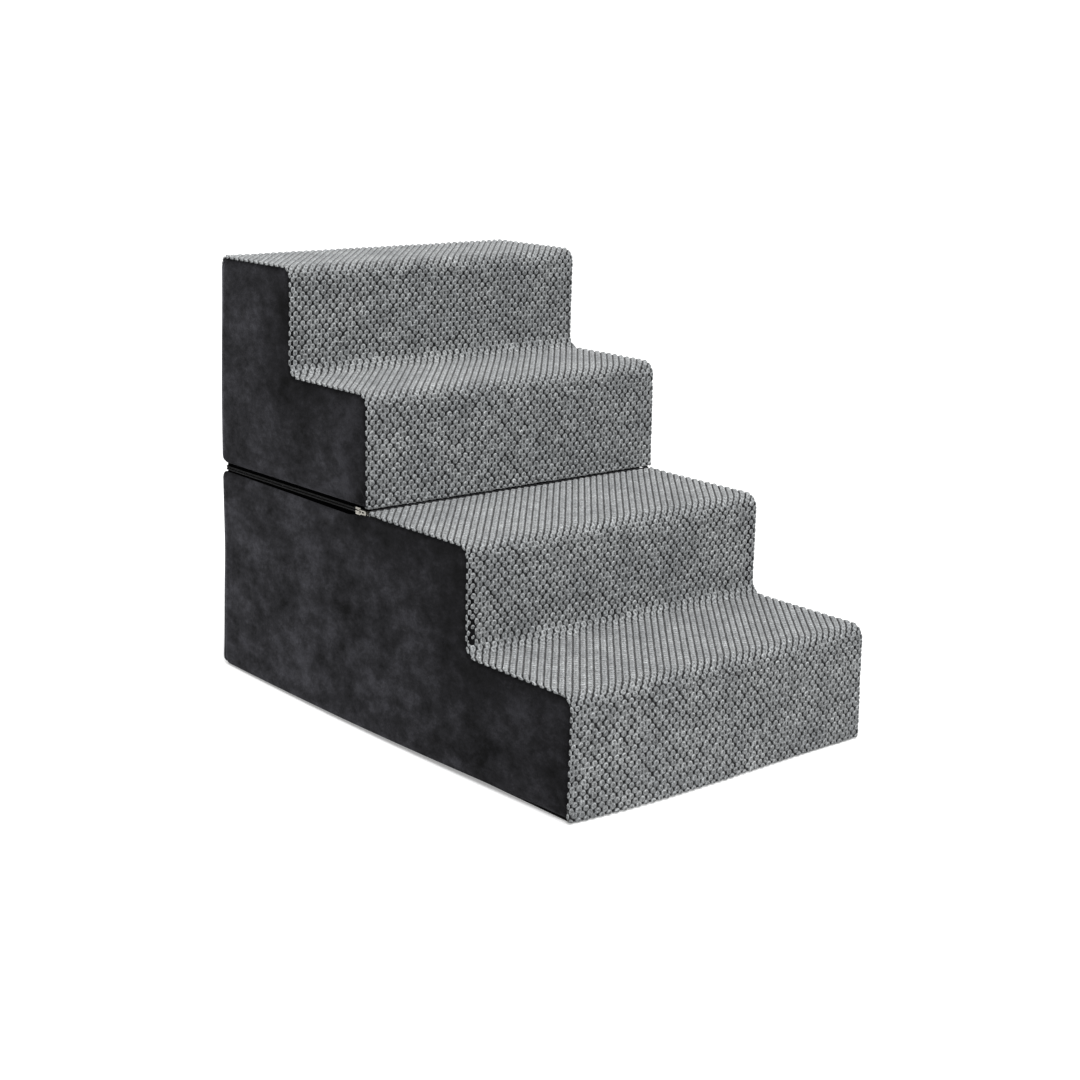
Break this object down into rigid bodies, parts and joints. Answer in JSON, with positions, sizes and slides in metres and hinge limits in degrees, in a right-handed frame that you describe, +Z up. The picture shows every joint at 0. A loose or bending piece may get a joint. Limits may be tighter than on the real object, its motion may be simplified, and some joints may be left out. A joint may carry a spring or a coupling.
{
  "type": "pet stair",
  "caption": "Foam pet stair in two zip-joined modules, with grey plush over the treads and risers and dark suede sides.",
  "frame": {"origin": "middle of the overall bounding box, on the floor", "axes": "+Z up, +Y from the lowest step's front towards the tall back, +X across the width"},
  "size_m": [0.4154, 0.66, 0.5],
  "materials": {
    "foam": "open-cell polyurethane foam, cut",
    "suede": "dark charcoal brushed suede cloth, mottled nap",
    "plush": "silver grey popcorn plush in staggered tufts",
    "lining": "plain black woven lining",
    "base_cloth": "black non-slip base cloth with small rubber dots",
    "zip_tape": "black woven zip tape",
    "zip_chain": "dark grey nylon coil",
    "zip_metal": "satin nickel",
    "welt": "black bound seam"
  },
  "bodies": {
    "lower_module": {"lower_foam_bottom_slab": "foam", "lower_foam_top_slab": "foam", "lower_left_panel": "suede", "lower_right_panel": "suede", "lower_back_panel": "suede", "lower_plush_cover": "plush", "lower_platform_lining": "lining", "base_panel": "base_cloth", "base_zip_lower_tape": "zip_tape", "base_zip_upper_tape": "zip_tape", "base_zip_lower_chain": "zip_chain", "base_zip_upper_chain": "zip_chain", "base_zip_stops": "zip_metal", "joint_zip_lower_tape": "zip_tape", "joint_zip_lower_chain": "zip_chain", "joint_zip_lower_stops": "zip_metal", "crease_seam_welt": "welt"},
    "upper_module": {"upper_foam_bottom_slab": "foam", "upper_foam_top_slab": "foam", "upper_left_panel": "suede", "upper_right_panel": "suede", "upper_back_panel": "suede", "upper_plush_cover": "plush", "upper_base_lining": "lining", "joint_zip_upper_tape": "zip_tape", "joint_zip_upper_chain": "zip_chain", "joint_zip_upper_stops": "zip_metal"},
    "joint_slider": {"joint_zip_slider_body": "zip_metal", "joint_zip_slider_bridge": "zip_metal"},
    "joint_pull": {"joint_zip_pull_tab": "zip_metal"},
    "base_slider": {"base_zip_slider_body": "zip_metal", "base_zip_slider_bridge": "zip_metal"},
    "base_pull": {"base_zip_pull_tab": "zip_metal"}
  },
  "joints": [
    {"name": "upper_tip", "type": "hinge", "parent": "lower_module", "child": "upper_module", "pos_m": [0, 0.019, 0.25], "axis": [1, 0, 0], "range_deg": [0, 88]},
    {"name": "joint_slider_run", "type": "slide", "parent": "lower_module", "child": "joint_slider", "axis": [0, 1, 0], "range_m": [0, 0.27]},
    {"name": "joint_pull_swing", "type": "hinge", "parent": "joint_slider", "child": "joint_pull", "pos_m": [-0.2064, 0.0379, 0.246], "axis": [0, 0, -1], "range_deg": [0, 170]},
    {"name": "base_slider_run", "type": "slide", "parent": "lower_module", "child": "base_slider", "axis": [0, 1, 0], "range_m": [0, 0.62]},
    {"name": "base_pull_swing", "type": "hinge", "parent": "base_slider", "child": "base_pull", "pos_m": [0.2064, -0.3159, 0.0029], "axis": [0, 0, -1], "range_deg": [0, 150]}
  ]
}
